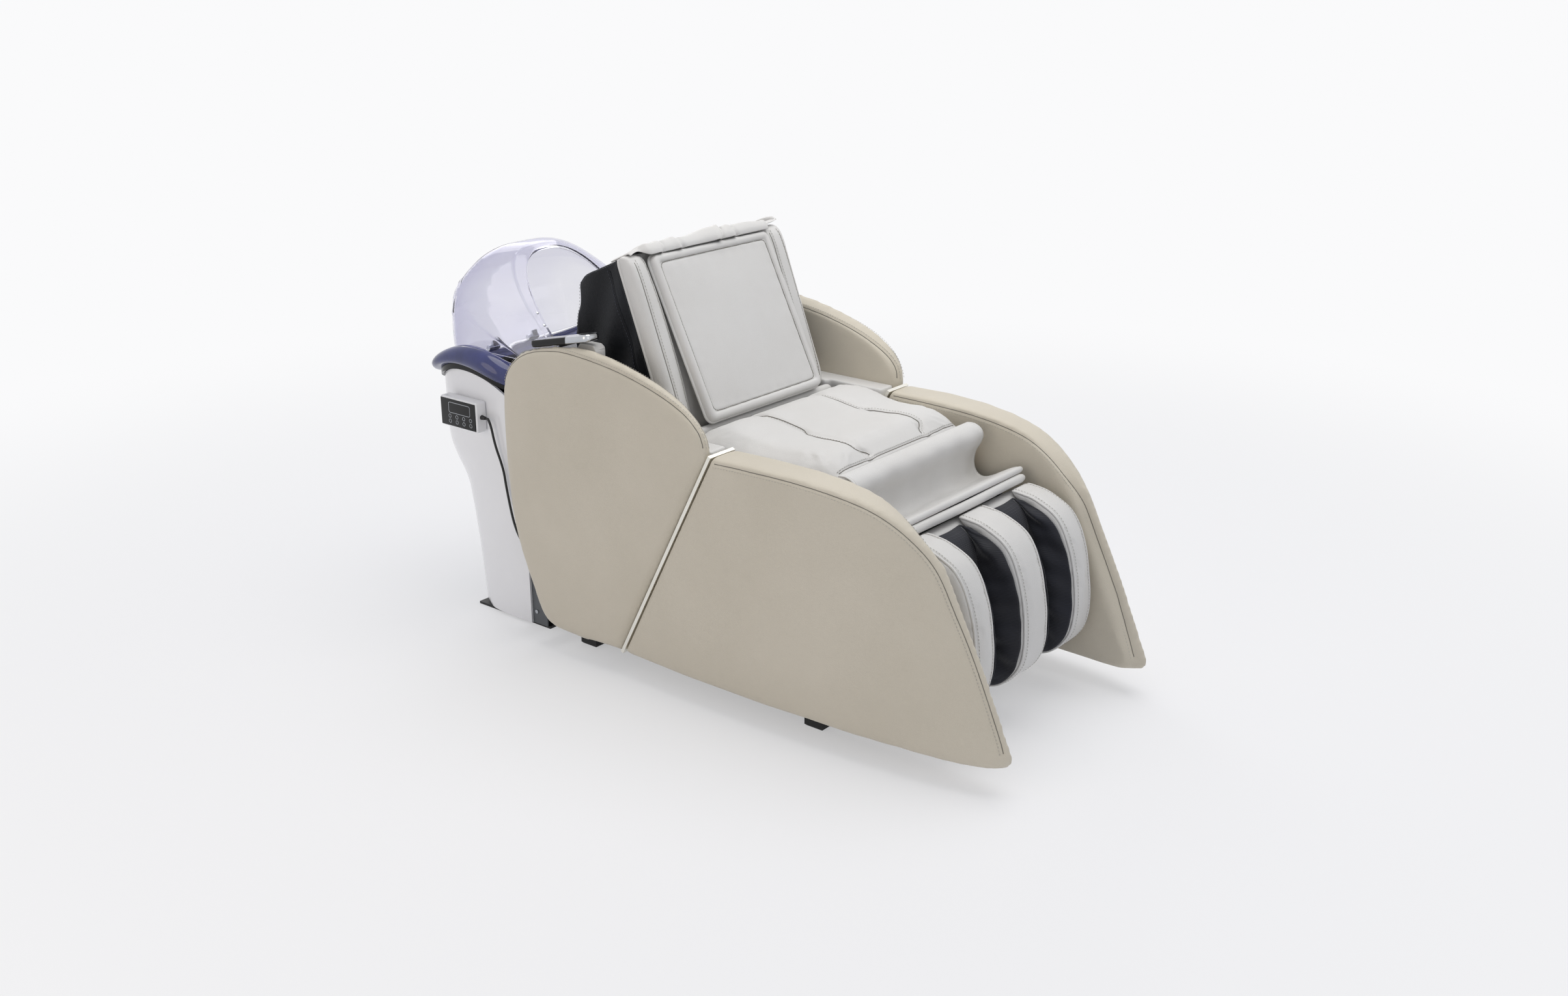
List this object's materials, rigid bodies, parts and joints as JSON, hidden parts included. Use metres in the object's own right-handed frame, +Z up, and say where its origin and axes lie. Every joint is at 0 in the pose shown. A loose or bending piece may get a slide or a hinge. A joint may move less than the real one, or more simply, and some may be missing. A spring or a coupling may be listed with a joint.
{
  "type": "head spa bed",
  "caption": "Reclining couch with padded side panels, lifting calf rest, quilted seat and a pedestal rinse basin under a clear tilting hood.",
  "frame": {"origin": "centre of the bounding box's footprint, on the floor", "axes": "X across the bed, +X to the sitter's left; Y along it, from the foot end to the basin; Z up"},
  "size_m": [0.76, 1.7402, 0.971],
  "materials": {
    "pale_leather": "soft synthetic leather with a fine grain, warm light grey",
    "side_leather": "synthetic leather stretched over padding, warm grey",
    "frame_steel": "powder-coated grey steel",
    "black_rubber": "moulded black rubber",
    "plywood": "raw plywood board",
    "seam_aluminium": "satin anodised aluminium strip",
    "black_base": "matt black moulded base",
    "zinc_screw": "bright zinc-plated screws",
    "white_shell": "white glossy moulded shell",
    "black_gloss": "black polished plastic",
    "black_glass": "black touch glass",
    "navy_acrylic": "deep blue polished acrylic",
    "chrome": "polished chrome",
    "grey_pipe": "grey drain pipe",
    "tank_plastic": "milky water tank",
    "pump_blue": "blue pump housing",
    "clear_acrylic": "clear acrylic with a faint lavender tint",
    "black_gland": "black moulded cable gland",
    "cable_rubber": "black flexible cable jacket",
    "handset_chrome": "dark chrome handset shell",
    "navy_leather": "dark navy synthetic leather",
    "navy_fabric": "dark navy woven lining",
    "drive_black": "black painted spindle drive",
    "drive_rod_steel": "ground steel rod",
    "power_case": "black moulded power and air pump case"
  },
  "bodies": {
    "base": {"base_rails": "frame_steel", "crossbars": "frame_steel", "seat_posts": "frame_steel", "seat_rails": "frame_steel", "pivot_ears": "frame_steel", "feet": "black_rubber", "panel_brackets": "frame_steel", "seat_board": "plywood", "seat_cushion": "pale_leather", "calf_flap": "pale_leather", "arm_panel_left": "side_leather", "arm_panel_right": "side_leather", "leg_panel_left": "side_leather", "leg_panel_right": "side_leather", "seam_strips": "seam_aluminium", "arm_ledges": "pale_leather", "pedestal_base": "black_base", "pedestal_frame": "frame_steel", "frame_screws": "zinc_screw", "pedestal_housing": "white_shell", "trim_band": "black_gloss", "basin": "navy_acrylic", "neck_cradle": "black_gloss", "drain_fitting": "chrome", "drain_pipe": "grey_pipe", "water_tank": "tank_plastic", "circulation_pump": "pump_blue", "hood_hinge": "chrome", "control_box": "white_shell", "control_glass": "black_glass", "control_gland": "black_gland", "control_cable": "cable_rubber", "cable_grommet": "black_rubber", "handset_cradle": "pale_leather", "back_gusset": "navy_leather", "recline_actuator": "drive_black", "lift_actuator": "drive_black", "power_box": "power_case"},
    "backrest": {"backrest_frame": "frame_steel", "backrest_board": "plywood", "backrest_cushion": "pale_leather", "back_pad": "pale_leather", "top_flap": "pale_leather"},
    "leg_rest": {"leg_frame": "frame_steel", "calf_body": "pale_leather", "calf_rib_left": "pale_leather", "calf_rib_middle": "pale_leather", "calf_rib_right": "pale_leather", "calf_lining_left": "navy_fabric", "calf_lining_right": "navy_fabric"},
    "hood": {"hood": "clear_acrylic", "hood_knuckles": "chrome"},
    "handset": {"handset_body": "handset_chrome", "handset_glass": "black_glass"},
    "recline_rod": {"recline_rod": "drive_rod_steel"},
    "lift_rod": {"lift_rod": "drive_rod_steel"}
  },
  "joints": [
    {"name": "backrest_recline", "type": "hinge", "parent": "base", "child": "backrest", "pos_m": [0, 0.05, 0.47], "axis": [-1, 0, 0], "range_deg": [0, 40], "deforming": ["back_gusset"]},
    {"name": "leg_rest_lift", "type": "hinge", "parent": "base", "child": "leg_rest", "pos_m": [0, -0.48, 0.4], "axis": [-1, 0, 0], "range_deg": [0, 65], "deforming": ["calf_flap"]},
    {"name": "hood_tilt", "type": "hinge", "parent": "base", "child": "hood", "pos_m": [0, 0.85242, 0.61029], "axis": [-1, 0, 0], "range_deg": [0, 70]},
    {"name": "handset_lift", "type": "slide", "parent": "base", "child": "handset", "axis": [0, 0, 1], "range_m": [0, 0.12]},
    {"name": "recline_drive", "type": "slide", "parent": "base", "child": "recline_rod", "axis": [0, -1, 0], "range_m": [0, 0.0767]},
    {"name": "lift_drive", "type": "slide", "parent": "base", "child": "lift_rod", "axis": [0, -1, 0], "range_m": [0, 0.0646]}
  ],
  "couplings": [
    {"joint": "recline_drive", "follows": "backrest_recline", "m_per_rad": 0.10974},
    {"joint": "lift_drive", "follows": "leg_rest_lift", "m_per_rad": 0.05683}
  ]
}
